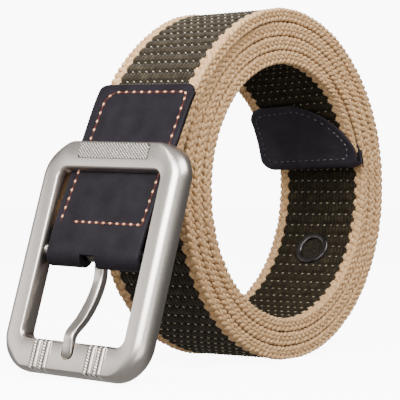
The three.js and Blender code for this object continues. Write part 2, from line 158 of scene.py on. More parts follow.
# ----------------------------
# Making pieces
# ----------------------------
def points_of(mesh):
    flat = np.empty(len(mesh.vertices) * 3)
    mesh.vertices.foreach_get("co", flat)
    return flat.reshape(-1, 3)


def move_points(mesh, place):
    mesh.vertices.foreach_set("co", place(points_of(mesh)).ravel())
    mesh.update()


def to_mesh(bm, name="part"):
    """Turns a bmesh into a mesh, and frees it."""
    mesh = bpy.data.meshes.new(name)
    bm.to_mesh(mesh)
    bm.free()
    return mesh


def linked(name, data):
    """A new object in the scene."""
    thing = bpy.data.objects.new(name, data)
    bpy.context.scene.collection.objects.link(thing)
    return thing


def piece(name, shape, materials, body="belt", place=None, sharp=None):
    """A finished piece from a bmesh or a mesh: in its place, shaded, and riding on its body."""
    mesh = to_mesh(shape, name) if isinstance(shape, bmesh.types.BMesh) else shape
    mesh.name = name
    if place:
        move_points(mesh, place)
    for material in materials:
        mesh.materials.append(material)
    mesh.polygons.foreach_set("use_smooth", [True] * len(mesh.polygons))
    if sharp:
        mesh.set_sharp_from_angle(angle=radians(sharp))
    thing = linked(name, mesh)
    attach(thing, body)
    return thing


def repeated(unit, count, step):
    """A mesh of the unit repeated along x."""
    holder = linked("unit", to_mesh(unit, "unit"))
    array = holder.modifiers.new("rows", "ARRAY")
    array.count = count
    array.use_relative_offset = False
    array.use_constant_offset = True
    array.constant_offset_displace = (step, 0, 0)
    graph = bpy.context.evaluated_depsgraph_get()
    result = bpy.data.meshes.new_from_object(holder.evaluated_get(graph))
    bpy.data.objects.remove(holder)
    return result


def lump(bm, centre, size, turn=None, fineness=2, material=0):
    """A rounded loop of yarn, an ellipsoid of half sizes along x, y and z."""
    spin = turn or Matrix.Identity(4)
    place = Matrix.Translation(centre) @ spin @ Matrix.Diagonal((*size, 1))
    made = bmesh.ops.create_icosphere(bm, subdivisions=fineness, radius=1, matrix=place)
    for face in {face for vert in made["verts"] for face in vert.link_faces}:
        face.material_index = material
def cylinder(bm, radius, length, place, segments=40):
    """A closed cylinder along z, put in its place."""
    bmesh.ops.create_cone(bm, cap_ends=True, segments=segments, radius1=radius, radius2=radius,
                          depth=length, matrix=place)


def block(bm, low, high):
    """A box between two corners."""
    low, high = Vector(low), Vector(high)
    size = Matrix.Diagonal((*(high - low), 1))
    bmesh.ops.create_cube(bm, size=1, matrix=Matrix.Translation((low + high) / 2) @ size)


def grid(columns, rows):
    """A grid from 0 to 1 in x and y."""
    bm = bmesh.new()
    bmesh.ops.create_grid(bm, x_segments=columns, y_segments=rows, size=0.5,
                          matrix=Matrix.Translation((0.5, 0.5, 0)))
    return bm


def loosened(flat, each, sway, size, seed):
    """Moves and scales each loop of `each` points a little, so that no two lie quite alike."""
    loops = flat.reshape(-1, each, 3)
    rng = np.random.default_rng(seed)
    middle = loops.mean(axis=1, keepdims=True)
    scale = 1 + rng.uniform(-size, size, (len(loops), 1, 3))
    shift = rng.uniform(-sway, sway, (len(loops), 1, 3))
    return ((loops - middle) * scale + middle + shift).reshape(-1, 3)


def applied(thing):
    """Applies the piece's modifiers to its mesh."""
    graph = bpy.context.evaluated_depsgraph_get()
    mesh = bpy.data.meshes.new_from_object(thing.evaluated_get(graph))
    thing.modifiers.clear()
    old = thing.data
    thing.data = mesh
    bpy.data.meshes.remove(old)


# ----------------------------
# Materials
# ----------------------------
def linear(hex_colour):
    """A hex colour as linear red, green and blue, with full alpha."""
    parts = [int(hex_colour[i:i + 2], 16) / 255 for i in (1, 3, 5)]
    return (*[part / 12.92 if part <= 0.04045 else ((part + 0.055) / 1.055) ** 2.4
              for part in parts], 1)


def new_material(name, colour, roughness, metallic=0.0, **sockets):
    material = bpy.data.materials.new(name)
    material.use_nodes = True
    shader = material.node_tree.nodes["Principled BSDF"]
    shader.inputs["Base Color"].default_value = linear(colour)
    shader.inputs["Roughness"].default_value = roughness
    shader.inputs["Metallic"].default_value = metallic
    for socket, value in sockets.items():
        shader.inputs[socket.replace("_", " ")].default_value = value
    return material, shader


def add_node(material, kind, links=(), **settings):
    """Adds a node. Settings name its properties or its inputs, and links feed its inputs."""
    node = material.node_tree.nodes.new(kind)
    for key, value in settings.items():
        if hasattr(node, key):
            setattr(node, key, value)
        else:
            node.inputs[key.replace("_", " ")].default_value = value
    for socket, source in links:
        material.node_tree.links.new(source, node.inputs[socket])
    return node


def set_stops(node, stops):
    ramp = node.color_ramp
    while len(ramp.elements) < len(stops):
        ramp.elements.new(0.5)
    for element, (position, colour) in zip(ramp.elements, stops):
        element.position = position
        element.color = linear(colour)


def mottled(material, shader, scale_mm, colours, bump_mm=0.0, detail=3.0, roughness=None):
    """Colour that wanders between a few tones, with a bump of its own, at a real scale."""
    place = add_node(material, "ShaderNodeTexCoord").outputs["Object"]
    cloud = add_node(material, "ShaderNodeTexNoise", [("Vector", place)],
                     Scale=1000 / scale_mm, Detail=detail)
    tone = add_node(material, "ShaderNodeValToRGB", [("Fac", cloud.outputs["Fac"])])
    set_stops(tone, colours)
    material.node_tree.links.new(tone.outputs["Color"], shader.inputs["Base Color"])
    if bump_mm:
        bump = add_node(material, "ShaderNodeBump", [("Height", cloud.outputs["Fac"])],
                        Distance=bump_mm * MM, Strength=0.8)
        material.node_tree.links.new(bump.outputs["Normal"], shader.inputs["Normal"])
    if roughness:
        spread = add_node(material, "ShaderNodeMapRange", [("Value", cloud.outputs["Fac"])])
        spread.inputs["To Min"].default_value, spread.inputs["To Max"].default_value = roughness
        material.node_tree.links.new(spread.outputs["Result"], shader.inputs["Roughness"])
# Spun cotton-polyester yarn: matt, with a faint fuzz that catches the light at the rim
beige_yarn, shader = new_material("beige_yarn", "#c49c6f", 0.92,
                                  Sheen_Weight=0.1, Specular_IOR_Level=0.1)
mottled(beige_yarn, shader, 1.1, [(0.3, "#a98156"), (0.5, "#c09a6e"), (0.7, "#d8b68b")], 0.3, 5)
green_yarn, shader = new_material("olive_yarn", "#372e24", 0.9,
                                  Sheen_Weight=0.08, Specular_IOR_Level=0.1)
mottled(green_yarn, shader, 3.0, [(0.3, "#292219"), (0.52, "#373025"), (0.75, "#474032")], 0.25, 5)
# The same yarn on the strap's inner face, painted darker as painted shade inside the coil
painted_shade_inner_yarn, shader = new_material("olive_yarn_painted_shade", "#2a241a", 0.92, Specular_IOR_Level=0.08)
mottled(painted_shade_inner_yarn, shader, 3.0, [(0.3, "#1f1a12"), (0.52, "#2b251b"), (0.75, "#3a3325")], 0.2, 5)
# The pale pick yarn that shows as a line of dots between the rows, painted darker on the inner face
# as painted shade
painted_shade_pick_yarn, shader = new_material("pick_yarn_painted_shade", "#8c816a", 0.92, Specular_IOR_Level=0.08)
mottled(painted_shade_pick_yarn, shader, 1.5, [(0.35, "#6a604a"), (0.6, "#9a8f77")], 0.1)
pale_yarn, shader = new_material("pale_pick_yarn", "#b3a993", 0.9, Specular_IOR_Level=0.1)
mottled(pale_yarn, shader, 1.5, [(0.35, "#7d745f"), (0.6, "#aca38e")], 0.1)
# The tight ground cloth, which shows only as depth between the loops
beige_ground, shader = new_material("beige_ground_weave", "#a5825a", 0.95, Specular_IOR_Level=0.1)
mottled(beige_ground, shader, 0.9, [(0.35, "#8f6f4b"), (0.65, "#b18d64")], 0.25)
green_ground, shader = new_material("olive_ground_weave", "#211d16", 0.95, Specular_IOR_Level=0.1)
mottled(green_ground, shader, 0.9, [(0.35, "#1a1712"), (0.65, "#2e2920")], 0.25)

# Corrected-grain cowhide: a fine pebble under a thin finish, so a soft broad gloss
PEBBLE, PEBBLE_DEPTH = 0.8, 0.06
CREASE, CREASE_DEPTH = 3.5, 0.35
chape_hide, shader = new_material("blue_brown_hide", "#1b181c", 0.55, Specular_IOR_Level=0.08)
mottled(chape_hide, shader, 7.0, [(0.3, "#171418"), (0.55, "#1c191e"), (0.8, "#231f25")],
        0.0, 4, (0.42, 0.6))
tip_hide, shader = new_material("black_brown_hide", "#1e1b20", 0.5, Specular_IOR_Level=0.18)
mottled(tip_hide, shader, 7.0, [(0.3, "#201c22"), (0.55, "#262228"), (0.8, "#2e2931")],
        0.0, 4, (0.45, 0.62))
for hide in (chape_hide, tip_hide):
    place = add_node(hide, "ShaderNodeTexCoord").outputs["Object"]
    pebble = add_node(hide, "ShaderNodeTexVoronoi", [("Vector", place)], Scale=1000 / PEBBLE)
    crease = add_node(hide, "ShaderNodeTexNoise", [("Vector", place)],
                      Scale=1000 / CREASE, Detail=6.0, Roughness=0.7)
    slack = add_node(hide, "ShaderNodeBump", [("Height", crease.outputs["Fac"])],
                     Distance=CREASE_DEPTH * MM, Strength=0.6)
    grain = add_node(hide, "ShaderNodeBump",
                     [("Height", pebble.outputs["Distance"]), ("Normal", slack.outputs["Normal"])],
                     Distance=PEBBLE_DEPTH * MM, Strength=0.5)
    shader = hide.node_tree.nodes["Principled BSDF"]
    hide.node_tree.links.new(grain.outputs["Normal"], shader.inputs["Normal"])

# Waxed polyester thread, orange, painted dark rust as painted shade where it dips and painted pale
# as a painted highlight on its crests, and plain grey on the patch
rust_thread_painted_shade, shader = new_material("rust_thread_painted_shade", "#5a2414", 0.6, Specular_IOR_Level=0.2)
mottled(rust_thread_painted_shade, shader, 1.2, [(0.35, "#35130a"), (0.65, "#642b18")], 0.05)
orange_thread_painted_highlight, shader = new_material("orange_thread_painted_highlight", "#d9a27c", 0.5, Specular_IOR_Level=0.3)
mottled(orange_thread_painted_highlight, shader, 1.2, [(0.3, "#b87a50"), (0.6, "#d3a888")], 0.05)
grey_thread, shader = new_material("grey_thread", "#4c484d", 0.6, Specular_IOR_Level=0.2)
mottled(grey_thread, shader, 1.2, [(0.3, "#332f34"), (0.65, "#67636a")], 0.05)

# Die-cast zinc, tumbled and plated in satin nickel: warm grey, softly blurred reflections
satin_nickel, shader = new_material("satin_nickel_plate", "#bdb5ad", 0.3, 1.0)
mottled(satin_nickel, shader, 0.5, [(0.3, "#b7afa7"), (0.7, "#c4bcb4")], 0.006, 4, (0.25, 0.34))
# The same plate in the relief's hollows and on the tongue's eye: dull where the tumbling stones
# don't reach, and darker as painted shade
dull_nickel_painted_shade, shader = new_material("dull_nickel_hollows_painted_shade", "#57524d", 0.6, 1.0)
mottled(dull_nickel_painted_shade, shader, 0.5, [(0.3, "#4b4642"), (0.7, "#635e58")], 0.006, 4)
# The relief's crests, which the tumbling polishes smoother, painted lighter than the faces round
# them as a painted highlight
polished_nickel_painted_highlight, shader = new_material("nickel_crests_painted_highlight", "#e4ddd6", 0.24, 1.0)
mottled(polished_nickel_painted_highlight, shader, 0.5, [(0.3, "#dcd5ce"), (0.7, "#ece5de")], 0.003, 4, (0.2, 0.3))
# Rolled brass eyelet, plated to a dark gunmetal
gunmetal, shader = new_material("gunmetal_plate", "#4d4948", 0.28, 1.0)
mottled(gunmetal, shader, 2.0, [(0.3, "#444040"), (0.7, "#585354")], 0.0, 2, (0.26, 0.32))


# ----------------------------
# Webbing
# ----------------------------
ROW, RIB = 4.75, 1.53   # the green weave's rows along the strap, and its ribs across
RIBS, PICKS = 21, 11    # how many lie side by side
GREEN_HALF = 16.2       # half the width of the green middle
LAST_TURN = 400.0       # length of the outermost turn
INNER_ROWS, ROWS_UNDER_PATCH, BACK_ROWS = 76, 5, 22
RIB_SIZE, RIB_OUT = (2.15, 0.78, 0.66), 1.6
PICK_SIZE, PICK_OUT, PICK_LEAN = (0.3, 0.62, 0.4), 1.72, 25
BITE_SIZE, BITE_OUT, BITE_LEAN = (1.75, 0.95, 0.7), 1.58, 14

BRAID = 2.8             # from one crossing of the beige edge braid to the next
BRAID_START, BRAID_SHORT = 6.0, 1
# Strands over the strap's thickness, as (shift in crossings, place out, lean)
EDGE_STRANDS = ((0, 1.48, -23), (0.5, 0, 25), (0, -1.48, -23))
EDGE_STRAND_AT, EDGE_STRAND_SIZE = 18.95, (1.85, 1.1, 0.95)
FACE_STRAND_AT, FACE_STRAND_OUT, FACE_STRAND_LEAN = 17.4, 1.45, 24
FACE_STRAND_SIZE = (1.6, 1.2, 0.9)
LUMP_POINTS = 42        # points in a lump of fineness 2
LUMP_SWAY, LUMP_SPREAD, BRAID_SEED = 0.08, 0.07, 7

GROUND_LINES = np.array([8, GREEN_HALF, 18.2, 19.4])
GROUND_THICK, GROUND_STEPS = 3.4, 420


def ground_weave():
    """The cloth under the floats: a flat strip, green in the middle and beige along both edges."""
    start = TIP_WALL + GAP + (WEB_THICK - TIP_PRESS) / 2
    lines = np.concatenate([-GROUND_LINES[::-1], [0], GROUND_LINES])
    bm = grid(GROUND_STEPS, len(lines) - 1)
    even = np.linspace(0, 1, len(lines))
    for face in bm.faces:
        middle = abs(np.interp(face.calc_center_median().y, even, lines))
        face.material_index = 1 if middle > GREEN_HALF else 0
    for vert in bm.verts:
        across = float(np.interp(vert.co.y, even, lines))
        along = start + vert.co.x * (web_end - start)
        fade = 1 - float(smooth(along, 0, 3 * TIP_CORNER))
        trim = float(corner_trim(across, tip_width, TIP_CORNER)) * fade
        vert.co = (along + trim, across, GROUND_THICK / 2)
    bmesh.ops.solidify(bm, geom=bm.faces[:], thickness=GROUND_THICK)
    bmesh.ops.recalc_face_normals(bm, faces=bm.faces[:])
    strip = piece("strap_ground", bm, [green_ground, beige_ground],
                  place=lambda flat: on_strap(pressed(flat)))
    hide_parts("strap")
    return strip


def edge_braid(side, name):
    """The beige edge: strands that cross over the strap's thickness, and one on each face."""
    count = int((web_end - BRAID_SHORT - BRAID_START) / BRAID)
    columns, faces = bmesh.new(), bmesh.new()
    for step, out, lean in EDGE_STRANDS:
        turn = Matrix.Rotation(radians(lean * side), 4, "Y")
        lump(columns, (step * BRAID, side * EDGE_STRAND_AT, out), EDGE_STRAND_SIZE, turn)
    for out in (1, -1):
        turn = Matrix.Rotation(radians(FACE_STRAND_LEAN * side * out), 4, "Z")
        centre = ((0.25 - 0.25 * out) * BRAID, side * FACE_STRAND_AT, out * FACE_STRAND_OUT)
        lump(faces, centre, FACE_STRAND_SIZE, turn)

    def place(flat):
        flat = loosened(flat, LUMP_POINTS, LUMP_SWAY, LUMP_SPREAD, BRAID_SEED + side)
        flat[:, 0] += BRAID_START
        fade = 1 - smooth(flat[:, 0], 0, 3 * TIP_CORNER)
        flat[:, 0] += corner_trim(flat[:, 1], tip_width, TIP_CORNER) * fade
        return on_strap(pressed(flat))

    piece(name, repeated(columns, count, BRAID), [beige_yarn], place=place)
    piece(name + "_faces", repeated(faces, count, BRAID), [beige_yarn], place=place)


def face_weave(name, start, count, face, ribs, picks):
    """Rows of green ribs, a line of pale picks between them, and beige loops that bite in."""
    unit = bmesh.new()
    for rib in range(RIBS):
        lump(unit, (ROW / 2, (rib - RIBS // 2) * RIB, face * RIB_OUT), RIB_SIZE, None, 1, 0)
    for pick in range(PICKS):
        turn = Matrix.Rotation(radians(PICK_LEAN), 4, "Z")
        centre = (0.02, (pick - PICKS // 2) * 2 * RIB, face * PICK_OUT)
        lump(unit, centre, PICK_SIZE, turn, 1, 1)
    for side in (-1, 1):
        turn = Matrix.Rotation(radians(BITE_LEAN * side * face), 4, "Z")
        lump(unit, (0.1, side * GREEN_HALF, face * BITE_OUT), BITE_SIZE, turn, 2, 2)

    def place(flat):
        """The rows waver a little, and lie flat under the eyelet's flange."""
        flat[:, 0] += start
        flat[:, 1] += np.sin(flat[:, 0] * 0.11) * 0.15
        if face < 0:
            from_eyelet = np.hypot(flat[:, 0] - EYELET_AT, flat[:, 1])
            near_eyelet = from_eyelet < EYELET_FLANGE / 2 + 0.8
            flat[:, 2] = np.where(near_eyelet, np.maximum(flat[:, 2], -1.6), flat[:, 2])
        return on_strap(pressed(flat))

    piece(name, repeated(unit, count, ROW), [ribs, picks, beige_yarn], place=place)


ground = ground_weave()
edge_braid(-1, "strap_edge_near")
edge_braid(1, "strap_edge_far")
outer_rows = int((LAST_TURN + ROLL_LENGTH) / ROW)
outer_start = bar_at - CHAPE_LENGTH + 1.9 - outer_rows * ROW
inner_start = TIP_LENGTH - 1.2 - ROWS_UNDER_PATCH * ROW
back_start = bar_at - CHAPE_BACK + 3.3 - BACK_ROWS * ROW
face_weave("strap_weave_outer", outer_start, outer_rows, 1, green_yarn, pale_yarn)
# The inner and back rows take darker copies of the yarns: painted shade
face_weave("strap_weave_inner", inner_start, INNER_ROWS, -1, painted_shade_inner_yarn, painted_shade_pick_yarn)
face_weave("strap_weave_back", back_start, BACK_ROWS, -1, painted_shade_inner_yarn, painted_shade_pick_yarn)


# ----------------------------
# Leather
# ----------------------------
FOLD_STEPS, ACROSS_STEPS, EASE_STEPS = 16, 30, 4
EDGE_EASE, EDGE_FULLNESS = 0.45, 0.7  # how far an edge is rounded, as a share of its wall


def leg_distances(leg, wall):
    """Places along a leg, closer together where its cut end is rounded over."""
    ease = EDGE_EASE * wall
    even = np.linspace(0, leg - ease, max(6, round(leg / 2.0)))[1:]
    turning = np.linspace(0, pi / 2, EASE_STEPS + 1)[1:]
    return np.concatenate([even, leg - ease + ease * np.sin(turning)])


def folded_hide(name, fold_at, side, legs, wall, halves_at, inside, middle, shift, slack,
                material):
    """A hide folded round an end of the strap, as one closed wall with eased, burnished edges.

    legs are the lengths behind and in front. Its section is a thin rounded bar, carried along
    the first leg, round the fold and up the second."""
    ease = EDGE_EASE * wall
    runs = [leg_distances(leg, wall) for leg in legs]
    distance = np.concatenate([runs[0][::-1], np.zeros(FOLD_STEPS + 1), runs[1]])
    turn = np.concatenate([np.full(len(runs[0]), -1.0), np.linspace(-1, 1, FOLD_STEPS + 1),
                           np.ones(len(runs[1]))]) * pi / 2
    leg = np.where(np.arange(len(distance)) < len(runs[0]) + FOLD_STEPS / 2, legs[0], legs[1])
    thick = np.sqrt(1 - np.clip((distance - leg + ease) / ease, 0, 1) ** 2)
    face = np.sin(np.linspace(-1, 1, ACROSS_STEPS + 1) * pi / 2)
    corner = np.linspace(0, pi, 2 * EASE_STEPS + 1)[1:-1]
    rise = np.cos(corner)
    round_side = np.stack([np.sin(corner), np.sign(rise) * np.abs(rise) ** EDGE_FULLNESS], 1)
    section = np.concatenate([
        np.stack([face, 0 * face, np.ones_like(face)], 1),
        np.stack([np.ones(len(corner)), round_side[:, 0], round_side[:, 1]], 1),
        np.stack([-face, 0 * face, -np.ones_like(face)], 1),
        np.stack([-np.ones(len(corner)), round_side[:, 0], -round_side[:, 1]], 1)])
    stations, around = len(distance) - 1, len(section)
    bm = grid(stations, around)

    def place(flat):
        at = np.round(flat[:, 0] * stations).astype(int)
        edge, bulge, level = section[np.round(flat[:, 1] * around).astype(int) % around].T
        half = np.where(edge > 0, *halves_at(distance[at]))
        across = edge * (half - ease) + np.sign(edge) * bulge * ease
        along = fold_at + side * distance[at]
        reach = inside(along) + wall * (0.5 + 0.5 * level * thick[at])
        moved = shift(distance[at], across, leg[at], turn[at] > 0)
        shifted = along + side * (moved - slack * reach * np.cos(turn[at]))
        return on_strap(np.stack([shifted, across, middle(along) + reach * np.sin(turn[at])], 1))

    return piece(name, remade(bm, place), [material], sharp=70)


def remade(bm, place):
    """Moves a bmesh's points all at once, then closes its seams and turns its faces outward."""
    mesh = bpy.data.meshes.new("moved")
    bm.to_mesh(mesh)
    move_points(mesh, place)
    bm.clear()
    bm.from_mesh(mesh)
    bpy.data.meshes.remove(mesh)
    size = max(max(abs(value) for value in vert.co) for vert in bm.verts)
    bmesh.ops.remove_doubles(bm, verts=bm.verts[:], dist=size * 1e-5)
    bmesh.ops.recalc_face_normals(bm, faces=bm.faces[:])
    if bm.calc_volume(signed=True) < 0:
        bmesh.ops.reverse_faces(bm, faces=bm.faces[:])
    return bm


def tip_half(along):
    """Half the webbing's thickness, which the patch presses thin."""
    share = 1 - smooth(along, TIP_LENGTH, TIP_LENGTH + TIP_FADE)
    return (WEB_THICK - TIP_PRESS * share) / 2


def tip_middle(along):
    """How far the pressed webbing's middle is shifted."""
    return -TIP_SHIFT * (1 - smooth(along, TIP_LENGTH, TIP_LENGTH + TIP_FADE))


def near_opening(across):
    """How far the patch's open end is cut back toward its near side."""
    past = np.clip((TIP_OPEN_ACROSS - tip_width / 2 - across) / TIP_OPEN_ACROSS, 0, 1)
    return TIP_OPEN_ALONG * (1 - (1 - past ** TIP_OPEN_POWER) ** (1 / TIP_OPEN_POWER))


def tip_leather():
    """The patch over the free end, its open edge cut back on a slant toward the near side."""
    nose = (WEB_THICK - TIP_PRESS) / 2 + GAP + TIP_WALL
    leg = TIP_LENGTH - nose

    def shift(distance, across, legs, outer):
        fold_end = corner_trim(across, tip_width, TIP_CORNER)
        fold_end = fold_end * (1 - smooth(distance, 0, 3 * TIP_CORNER))
        fold_end *= np.where(across < 0, TIP_NEAR_FOLD, 1)
        far_end = corner_trim(across, tip_width, TIP_OPEN_FAR)
        far_end = far_end * smooth(distance, leg - 1.3 * TIP_OPEN_FAR, leg)
        near_end = near_opening(across) * np.where(outer, TIP_OUTER_CUT, 1)
        near_end = near_end * smooth(distance, 0, leg)
        return fold_end - np.where(across < 0, near_end, far_end)

    hide = folded_hide("tip_patch", nose, 1, [leg, leg], TIP_WALL,
                       lambda distance: (tip_width / 2 + 0 * distance,) * 2,
                       lambda along: tip_half(along) + GAP, tip_middle, shift, 1.0,
                       tip_hide)
    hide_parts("tip_leather")


def chape_inside(along):
    """How far the chape's inner face stands from its middle: round the bar, then the webbing."""
    share = smooth(bar_at - along, 0, WEB_END_ABOVE_BAR - GAP)
    return (BAR_RADIUS + GAP) * (1 - share) + (WEB_THICK / 2 + GAP) * share


def chape_width(distance):
    return CHAPE_WIDTH + CHAPE_FLARE * distance / CHAPE_LENGTH


def chape_halves(distance):
    """Half widths on the far and the near side, which stands a little further out."""
    half = chape_width(distance) / 2
    return half, half + 0.5 + 0.4 * distance / CHAPE_LENGTH


def chape():
    """The chape, folded round the bar over the webbing's end."""
    top = CHAPE_WIDTH + CHAPE_FLARE

    def shift(distance, across, leg, outer):
        rounding = corner_trim(across, top, CHAPE_CORNER)
        return -rounding * smooth(distance, leg - 3 * CHAPE_CORNER, leg)

    hide = folded_hide("chape", bar_at, -1, [CHAPE_BACK, CHAPE_LENGTH], CHAPE_WALL,
                       chape_halves, chape_inside, lambda along: 0 * along, shift, CHAPE_SLACK,
                       chape_hide)
    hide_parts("buckle_leather")
    return hide


def at_bar(lean):
    """From the buckle's own axes at the bar, in millimetres, to the part's frame, in metres."""
    place = Vector(((bar[0] + coil_centre[0]), coil_centre[1], bar[1] + coil_centre[2])) * MM
    turn = Matrix.Rotation(radians(lean), 4, "Y") @ Matrix.Rotation(radians(END_ROLL), 4, "X")
    return Matrix.Translation(place) @ turn @ Matrix.Scale(MM, 4)


def leaned(bm, lean):
    """Moves a bmesh from the buckle's own axes to its place in the part."""
    bmesh.ops.transform(bm, matrix=at_bar(lean), verts=bm.verts[:])
    return bm


def cut_with(thing, mesh):
    """Cuts a closed mesh away from a piece."""
    tool = linked("cutter", mesh)
    cut = thing.modifiers.new("cut", "BOOLEAN")
    cut.operation = "DIFFERENCE"
    cut.solver = "EXACT"
    cut.object = tool
    applied(thing)
    bpy.data.objects.remove(tool)


def cut_box(thing, low, high, lean):
    """Cuts away a box between two corners, in the buckle's own axes."""
    bm = bmesh.new()
    block(bm, low, high)
    cut_with(thing, to_mesh(leaned(bm, lean)))


def cut_round(thing, radius, length, place, lean):
    """Cuts away a cylinder, in the buckle's own axes."""
    bm = bmesh.new()
    cylinder(bm, radius, length, place)
    cut_with(thing, to_mesh(leaned(bm, lean)))


# The slot that lets the tongue out of the fold: across, and up in front of and behind the bar
SLOT_NEAR, SLOT_FAR = -2.65, 3.9
SLOT_FRONT, SLOT_BACK = (-9, -2.4), (-4, 5.6)
SLOT_REACH = 12
EYE_ROOM = 3.5  # radius of the room for the tongue's eye

chape_piece = chape()
cut_box(chape_piece, (-SLOT_REACH, SLOT_NEAR, SLOT_FRONT[0]),
        (SLOT_REACH, SLOT_FAR, SLOT_FRONT[1]), CHAPE_LEAN)
cut_box(chape_piece, (0, SLOT_NEAR, SLOT_BACK[0]),
        (SLOT_REACH, SLOT_FAR, SLOT_BACK[1]), CHAPE_LEAN)
eye_place = Matrix.Translation((0, (SLOT_NEAR + SLOT_FAR) / 2, 0)) @ Matrix.Rotation(pi / 2, 4, "X")
cut_round(chape_piece, EYE_ROOM, SLOT_FAR - SLOT_NEAR, eye_place, CHAPE_LEAN)
tip_leather()


# ----------------------------
# Stitches
# ----------------------------
def stitch_run(corners, pitch):
    """Evenly spaced (along, across, heading) places on a path of straight runs."""
    places = []
    for (x0, y0), (x1, y1) in zip(corners, corners[1:]):
        run = np.hypot(x1 - x0, y1 - y0)
        count = max(1, round(run / pitch))
        for i in range(count):
            share = (i + 0.5) / count
            places.append((x0 + (x1 - x0) * share, y0 + (y1 - y0) * share,
                           np.arctan2(y1 - y0, x1 - x0), run / count))
    return places


def stitches(name, places, out_at, colour, dark, long=0.62, wide=0.43, proud=0.14):
    """Each stitch is a pale crest on a darker run of thread, over a dark dimple that it pulls in.
    With the orange thread the pale crest is a painted highlight, and the rust run and dimple are
    painted shade.
    """
    bm = bmesh.new()
    for along, across, heading, pitch in places:
        turn = Matrix.Rotation(heading, 4, "Z")
        out = out_at(along)
        side = 1 if out > 0 else -1
        lump(bm, (along, across, out + side * proud * 0.5), (long, wide, 0.34), turn, 2, 0)
        # The run and the dimple take the second colour, which for the chape's rust thread is
        # painted shade
        run = (pitch * 0.54, wide * 0.85, 0.22)
        lump(bm, (along, across, out - side * 0.08), run, turn, 2, 1)
        dimple = (long * 1.35, wide * 1.5, 0.2)
        lump(bm, (along, across, out - side * 0.1), dimple, turn, 2, 1)
    piece(name, bm, [colour, dark], place=on_strap)


def chape_front(along):
    return chape_inside(along) + CHAPE_WALL


CHAPE_PITCH, CHAPE_LOW_PITCH, TIP_PITCH = 3.4, 3.0, 2.6
top_row, bottom_row = bar_at - CHAPE_LENGTH + 3.6, bar_at - 9.0
far_top, far_low, near_top, near_low = 15.8, 16.9, -19.0, -18.3
chape_path = [(bottom_row, far_low), (top_row + 3, far_top), (top_row, far_top - 3),
              (top_row, near_top + 1), (top_row + 1, near_top), (bottom_row, near_low)]
low_path = [(bottom_row, near_low), (bottom_row, far_low - 5.5)]
chape_places = stitch_run(chape_path, CHAPE_PITCH) + stitch_run(low_path, CHAPE_LOW_PITCH)
# Pale orange crests as painted highlight, over rust runs and dimples as painted shade
stitches("chape_stitches", chape_places, chape_front, orange_thread_painted_highlight, rust_thread_painted_shade)

SEAM_INSET = 2.6  # from the patch's edges to its seam
tip_edge = tip_width / 2 - SEAM_INSET
tip_fold_row, tip_far_row = 4.4, TIP_LENGTH - 5.8
cut_at = np.linspace(0, -tip_edge + 0.5, 9)
cut_path = [(TIP_LENGTH - 2.8 - near_opening(across) * 1.13, across) for across in cut_at]
tip_path = [(tip_far_row, tip_edge), (TIP_LENGTH - 3.4, tip_edge - 3.4), *cut_path,
            (tip_fold_row, -tip_edge + 1.5), (tip_fold_row, tip_edge - 3), (6.8, tip_edge),
            (tip_far_row, tip_edge)]
stitches("tip_stitches", stitch_run(tip_path, TIP_PITCH),
         lambda along: tip_middle(along) - tip_half(along) - GAP - TIP_WALL, grey_thread, tip_hide,
         0.66, 0.26, 0.04)


# ----------------------------
# Eyelet
# ----------------------------
EYELET_STEPS, HOLE_ROOM, HOLE_DEPTH = 48, 0.75, 5.2


def eyelet():
    """The flange and tube in section, spun about the eyelet's axis, then laid on the strap."""
    hole, rim = EYELET_HOLE / 2, EYELET_FLANGE / 2
    top = WEB_THICK / 2 + FLANGE_PROUD
    under = top - FLANGE_THICK
    ease = EDGE_EASE * FLANGE_THICK
    half = [(hole, 0), (hole, top - ease), (hole + 0.3 * ease, top - 0.3 * ease),
            (hole + ease, top), ((hole + rim) / 2, top + 0.06), (rim - ease, top),
            (rim - 0.3 * ease, top - 0.3 * ease), (rim, top - ease), (rim, under),
            (hole + EYELET_TUBE, under), (hole + EYELET_TUBE, 0)]
    bm = bmesh.new()
    verts = [bm.verts.new((radius, 0, out)) for radius, out in half]
    edges = [bm.edges.new(pair) for pair in zip(verts, verts[1:])]
    bmesh.ops.mirror(bm, geom=verts + edges, axis="Z", merge_dist=0.001)
    bmesh.ops.remove_doubles(bm, verts=bm.verts[:], dist=0.001)
    bmesh.ops.spin(bm, geom=bm.verts[:] + bm.edges[:], axis=(0, 0, 1), cent=(0, 0, 0),
                   steps=EYELET_STEPS, angle=2 * pi, use_merge=True)
    bmesh.ops.remove_doubles(bm, verts=bm.verts[:], dist=0.001)
    bmesh.ops.recalc_face_normals(bm, faces=bm.faces[:])
    bmesh.ops.translate(bm, verts=bm.verts[:], vec=(EYELET_AT, 0, 0))
    ring = piece("eyelet_ring", bm, [gunmetal], place=on_strap, sharp=60)
    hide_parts("eyelet")


eyelet()
hole_cut = bmesh.new()
cylinder(hole_cut, EYELET_HOLE / 2 + HOLE_ROOM, HOLE_DEPTH, Matrix.Translation((EYELET_AT, 0, 0)))
hole_mesh = to_mesh(hole_cut)
move_points(hole_mesh, on_strap)
cut_with(ground, hole_mesh)


# ----------------------------
# Buckle
# ----------------------------
frame_half = OPENING_WIDTH / 2 + RAIL_WIDTH
frame_low, frame_high = -LOWER_WINDOW - LOWER_BAR, UPPER_WINDOW + UPPER_BAR
CORNER_STEPS, SIDE_STEPS, EDGE_STEPS = 18, 10, 8
BAR_EDGE, INNER_EDGE, RAIL_BACK, BACK_EDGE = 0.3, 0.3, 0.5, 0.18
BACK_ROUND = FRAME_FRONT + FRAME_BACK - MIDDLE_FLAT - FRONT_ROUND


